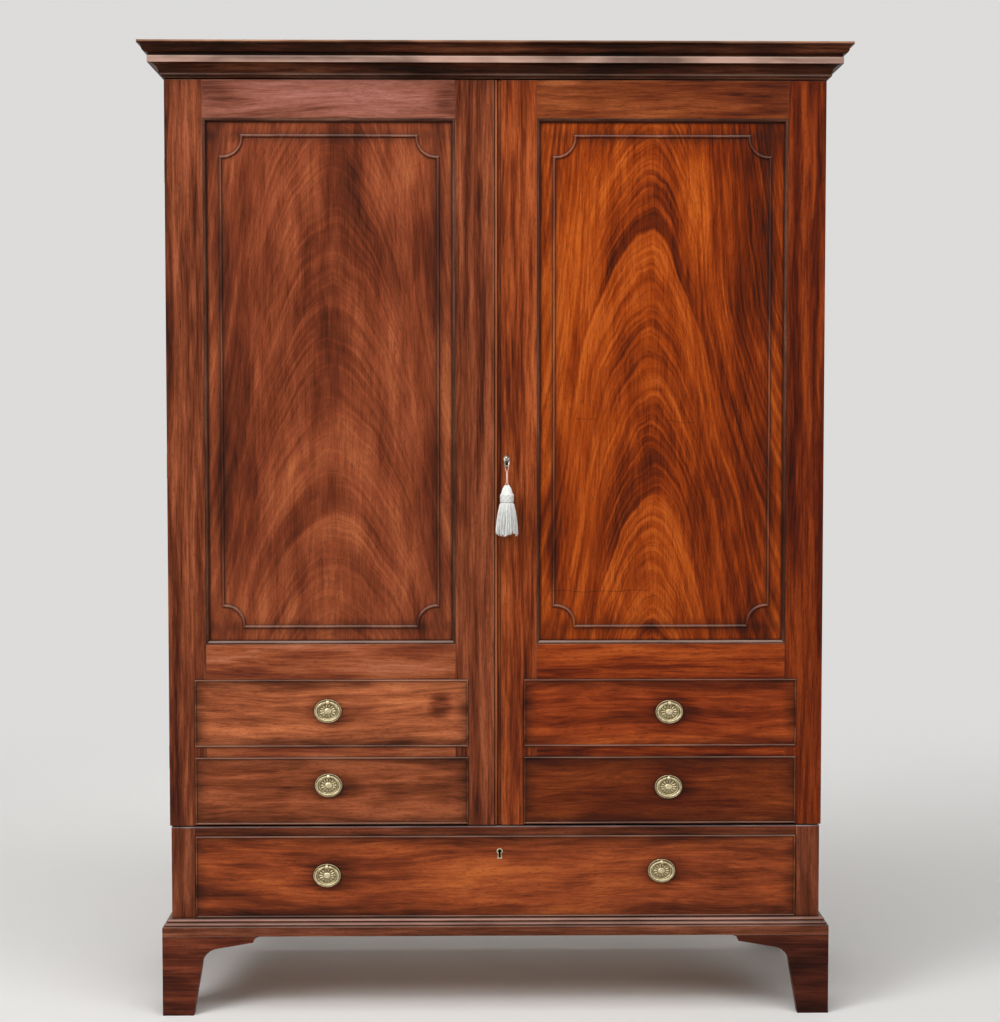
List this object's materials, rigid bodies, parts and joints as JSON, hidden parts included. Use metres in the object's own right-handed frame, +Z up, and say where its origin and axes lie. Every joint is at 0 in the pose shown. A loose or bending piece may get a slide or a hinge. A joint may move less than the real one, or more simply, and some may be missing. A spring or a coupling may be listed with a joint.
{
  "type": "wardrobe",
  "caption": "Two-door mahogany wardrobe with a moulded cornice, bead-panelled doors over dummy drawer fronts, a long drawer below, ring handles, a tasselled key and bracket feet.",
  "frame": {"origin": "on the floor, under the middle of the overall box", "axes": "+Z up, -Y out of the front where the doors and the drawer open, +X to the viewer's right"},
  "size_m": [1.471, 0.6104, 2.0304],
  "materials": {
    "mahogany": "aged French polish, dark red-brown, satin",
    "figured_mahogany": "French polished flame figure, satin gloss",
    "oak": "bare, dry oak lining",
    "pine": "bare, dusty pine",
    "old_brass": "stamped, toned brass with bright rubbed edges",
    "key_steel": "worn steel",
    "silk_cord": "twisted silk cord",
    "silk_tassel": "silk thread tassel"
  },
  "bodies": {
    "case": {"back_boards": "pine", "base_bottom": "pine", "base_face_frame": "mahogany", "base_left_side": "mahogany", "base_right_side": "mahogany", "case_bottom": "mahogany", "case_top": "mahogany", "cornice": "mahogany", "front_left_foot": "mahogany", "front_right_foot": "mahogany", "hanging_rail": "old_brass", "left_lower_hinge": "old_brass", "left_middle_hinge": "old_brass", "left_side": "mahogany", "left_upper_hinge": "old_brass", "plinth_moulding": "mahogany", "rear_left_foot": "mahogany", "rear_right_foot": "mahogany", "right_lower_hinge": "old_brass", "right_middle_hinge": "old_brass", "right_side": "mahogany", "right_upper_hinge": "old_brass"},
    "left_door": {"left_lower_board": "mahogany", "left_lower_front": "figured_mahogany", "left_lower_handle_plate": "old_brass", "left_meeting_stile": "mahogany", "left_outer_stile": "mahogany", "left_panel": "figured_mahogany", "left_panel_moulding": "mahogany", "left_top_rail": "mahogany", "left_upper_front": "figured_mahogany", "left_upper_handle_plate": "old_brass"},
    "right_door": {"door_lock": "old_brass", "right_lower_board": "mahogany", "right_lower_front": "figured_mahogany", "right_lower_handle_plate": "old_brass", "right_meeting_stile": "mahogany", "right_outer_stile": "mahogany", "right_panel": "figured_mahogany", "right_panel_moulding": "mahogany", "right_top_rail": "mahogany", "right_upper_front": "figured_mahogany", "right_upper_handle_plate": "old_brass"},
    "drawer": {"drawer_back": "oak", "drawer_bottom": "oak", "drawer_front": "figured_mahogany", "drawer_left_handle_plate": "old_brass", "drawer_left_side": "oak", "drawer_right_handle_plate": "old_brass", "drawer_right_side": "oak"},
    "left_upper_ring": {"left_upper_ring_handle": "old_brass"},
    "left_lower_ring": {"left_lower_ring_handle": "old_brass"},
    "right_upper_ring": {"right_upper_ring_handle": "old_brass"},
    "right_lower_ring": {"right_lower_ring_handle": "old_brass"},
    "drawer_left_ring": {"drawer_left_ring_handle": "old_brass"},
    "drawer_right_ring": {"drawer_right_ring_handle": "old_brass"},
    "key": {"door_key": "key_steel"},
    "tassel": {"key_cord": "silk_cord", "key_tassel": "silk_tassel"},
    "lock_bolt": {"door_lock_bolt": "old_brass"}
  },
  "joints": [
    {"name": "left_door_swing", "type": "hinge", "parent": "case", "child": "left_door", "pos_m": [-0.6882, -0.23125, 1.18], "axis": [0, 0, -1], "range_deg": [0, 180]},
    {"name": "right_door_swing", "type": "hinge", "parent": "case", "child": "right_door", "pos_m": [0.6882, -0.23125, 1.18], "axis": [0, 0, 1], "range_deg": [0, 180]},
    {"name": "drawer_slide", "type": "slide", "parent": "case", "child": "drawer", "axis": [0, -1, 0], "range_m": [0, 0.38]},
    {"name": "left_upper_ring_swing", "type": "hinge", "parent": "left_door", "child": "left_upper_ring", "pos_m": [-0.354, -0.26395, 0.6622], "axis": [-1, 0, 0], "range_deg": [0, 90]},
    {"name": "left_lower_ring_swing", "type": "hinge", "parent": "left_door", "child": "left_lower_ring", "pos_m": [-0.353, -0.26395, 0.5049], "axis": [-1, 0, 0], "range_deg": [0, 90]},
    {"name": "right_upper_ring_swing", "type": "hinge", "parent": "right_door", "child": "right_upper_ring", "pos_m": [0.365, -0.26395, 0.6592], "axis": [-1, 0, 0], "range_deg": [0, 90]},
    {"name": "right_lower_ring_swing", "type": "hinge", "parent": "right_door", "child": "right_lower_ring", "pos_m": [0.364, -0.26395, 0.4999], "axis": [-1, 0, 0], "range_deg": [0, 90]},
    {"name": "drawer_left_ring_swing", "type": "hinge", "parent": "drawer", "child": "drawer_left_ring", "pos_m": [-0.357, -0.26395, 0.3129], "axis": [-1, 0, 0], "range_deg": [0, 90]},
    {"name": "drawer_right_ring_swing", "type": "hinge", "parent": "drawer", "child": "drawer_right_ring", "pos_m": [0.35, -0.26395, 0.3209], "axis": [-1, 0, 0], "range_deg": [0, 90]},
    {"name": "key_turn", "type": "hinge", "parent": "right_door", "child": "key", "pos_m": [0.0222, -0.25675, 1.1729], "axis": [0, 1, 0], "range_deg": [0, 90]},
    {"name": "tassel_hang", "type": "hinge", "parent": "key", "child": "tassel", "pos_m": [0.0222, -0.28175, 1.1556], "axis": [0, 1, 0], "range_deg": [-90, 0]},
    {"name": "lock_bolt_slide", "type": "slide", "parent": "right_door", "child": "lock_bolt", "axis": [-1, 0, 0], "range_m": [0, 0.01]}
  ],
  "couplings": [
    {"joint": "lock_bolt_slide", "follows": "key_turn", "m_per_rad": 0.0063662},
    {"joint": "tassel_hang", "follows": "key_turn", "ratio": -1}
  ]
}
